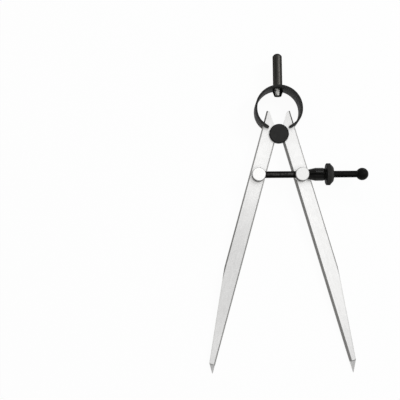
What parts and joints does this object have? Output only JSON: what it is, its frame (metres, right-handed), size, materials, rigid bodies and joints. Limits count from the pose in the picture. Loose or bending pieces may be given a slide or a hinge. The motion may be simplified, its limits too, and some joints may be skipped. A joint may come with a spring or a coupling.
{
  "type": "spring bow divider",
  "caption": "Spring bow divider: flat tapered legs swing on a fulcrum under a round bow spring with a finger stud, and a screw with a split nut and knurled collar sets the opening.",
  "frame": {"origin": "centre of the fulcrum's rear face, on the axis that both legs swing about", "axes": "+X along the adjusting screw towards its end ball, +Y from the scribing points towards the finger stud, +Z out of the front of the tool as it lies on its back"},
  "size_m": [0.0924, 0.1853, 0.0186],
  "materials": {
    "leg_steel": "satin",
    "post_steel": "satin",
    "bare_steel": "satin",
    "black_oxide": "satin",
    "blackened_screw": "satin"
  },
  "bodies": {
    "bow_frame": {"bow_spring": "black_oxide", "finger_stud": "black_oxide", "stud_nut": "bare_steel", "fulcrum_pin": "black_oxide", "fulcrum_rear_cap": "black_oxide"},
    "left_arm": {"left_leg": "leg_steel", "anchor_front_washer": "blackened_screw", "anchor_rear_washer": "blackened_screw"},
    "right_arm": {"right_leg": "leg_steel", "guide_front_washer": "blackened_screw", "guide_rear_washer": "blackened_screw"},
    "anchor_swivel": {"anchor_post": "post_steel", "adjusting_screw": "blackened_screw", "screw_lock_pin": "bare_steel", "end_ball": "blackened_screw"},
    "guide_swivel": {"guide_post": "post_steel"},
    "thumb_nut": {"upper_jaw": "blackened_screw", "lower_jaw": "blackened_screw", "jaw_spring": "bare_steel", "thumb_collar": "black_oxide"}
  },
  "joints": [
    {"name": "left_leg_swing", "type": "hinge", "parent": "bow_frame", "child": "left_arm", "pos_m": [0, 0, 0], "axis": [0, 0, -1], "range_deg": [-16.15, 17], "deforming": ["bow_spring"]},
    {"name": "right_leg_swing", "type": "hinge", "parent": "bow_frame", "child": "right_arm", "pos_m": [0, 0, 0], "axis": [0, 0, 1], "range_deg": [-16.15, 17]},
    {"name": "anchor_post_swivel", "type": "hinge", "parent": "left_arm", "child": "anchor_swivel", "pos_m": [-0.01243, -0.02428, 0], "axis": [0, 0, 1], "range_deg": [-16.15, 17]},
    {"name": "guide_post_swivel", "type": "hinge", "parent": "right_arm", "child": "guide_swivel", "pos_m": [0.01243, -0.02428, 0], "axis": [0, 0, -1], "range_deg": [-16.15, 17]},
    {"name": "nut_spin", "type": "hinge", "parent": "guide_swivel", "child": "thumb_nut", "pos_m": [0.01243, -0.02428, 0.0086], "axis": [1, 0, 0], "continuous": true}
  ],
  "couplings": [
    {"joint": "right_leg_swing", "follows": "left_leg_swing", "ratio": 1},
    {"joint": "anchor_post_swivel", "follows": "left_leg_swing", "ratio": 1},
    {"joint": "guide_post_swivel", "follows": "left_leg_swing", "ratio": 1},
    {"joint": "nut_spin", "follows": "left_leg_swing", "ratio": 435.92}
  ]
}
